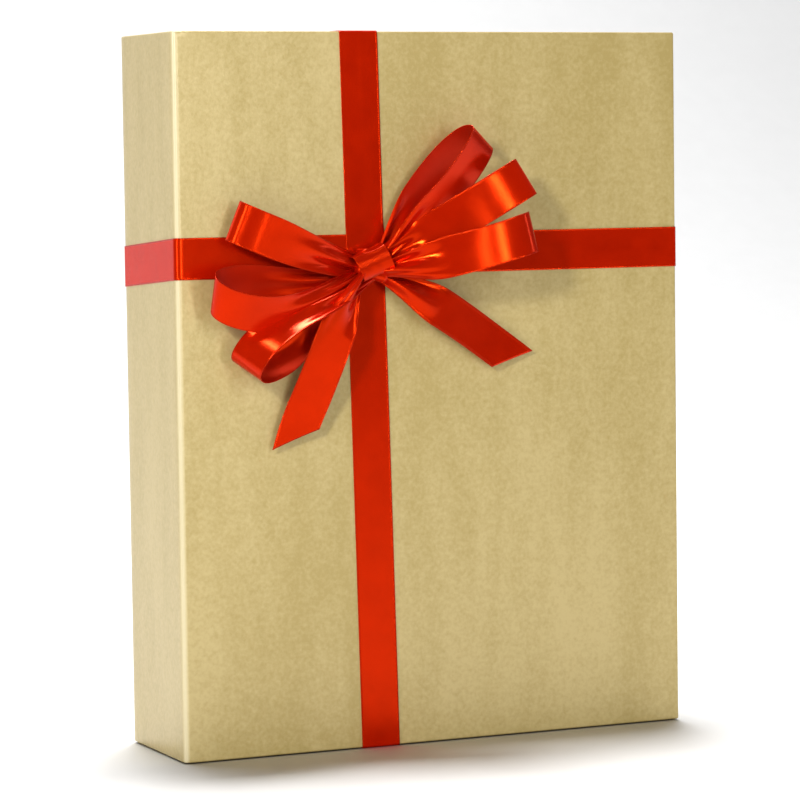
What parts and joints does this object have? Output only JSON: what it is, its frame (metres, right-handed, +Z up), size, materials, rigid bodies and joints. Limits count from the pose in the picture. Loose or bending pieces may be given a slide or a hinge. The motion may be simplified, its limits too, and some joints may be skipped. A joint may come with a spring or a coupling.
{
  "type": "gift box",
  "caption": "Tall shallow two-piece gift box with a full-depth lift-off lid in gold paper, crossed red satin ribbon bands and a looped bow on the front.",
  "frame": {"origin": "centre of the footprint of the closed box with its bow: halfway across the width, halfway from the bow's front to the box's back, with Z = 0 at the underside of the ribbon that the box stands on", "axes": "+Z up the box, +X to the right of someone who faces the bow, -Y out of the front, the way the lid comes off"},
  "size_m": [0.2168, 0.0834, 0.2808],
  "materials": {
    "gold_paper": "pale gold metallic coated paper, satin",
    "greyboard": "raw grey board",
    "lining_paper": "matt uncoated cream paper",
    "kraft_tape": "matt gummed kraft paper tape",
    "red_satin": "single-face satin ribbon, orange red, glossy",
    "clear_tape": "double-sided clear tape",
    "tie_wire": "thin soft tie wire",
    "glue": "set hot-melt glue"
  },
  "bodies": {
    "base": {"base_board": "greyboard", "base_wrap": "gold_paper", "base_liner": "lining_paper", "base_corner_stay_1": "kraft_tape", "base_corner_stay_2": "kraft_tape", "base_corner_stay_3": "kraft_tape", "base_corner_stay_4": "kraft_tape"},
    "lid": {"lid_board": "greyboard", "lid_wrap": "gold_paper", "lid_liner": "lining_paper", "lid_corner_stay_1": "kraft_tape", "lid_corner_stay_2": "kraft_tape", "lid_corner_stay_3": "kraft_tape", "lid_corner_stay_4": "kraft_tape", "ribbon_across": "red_satin", "ribbon_down": "red_satin", "ribbon_tape_left": "clear_tape", "ribbon_tape_right": "clear_tape", "ribbon_tape_top": "clear_tape", "ribbon_tape_bottom": "clear_tape", "bow_loop_left_upper": "red_satin", "bow_loop_left_middle": "red_satin", "bow_loop_left_lower": "red_satin", "bow_loop_right_upper": "red_satin", "bow_loop_right_middle": "red_satin", "bow_loop_right_lower": "red_satin", "bow_tail_left": "red_satin", "bow_tail_right": "red_satin", "bow_knot": "red_satin", "bow_gather": "red_satin", "bow_tie_wire": "tie_wire", "bow_glue_dot": "glue"}
  },
  "joints": [
    {"name": "lid_lift", "type": "slide", "parent": "base", "child": "lid", "axis": [0, -1, 0], "range_m": [0, 0.12]}
  ]
}
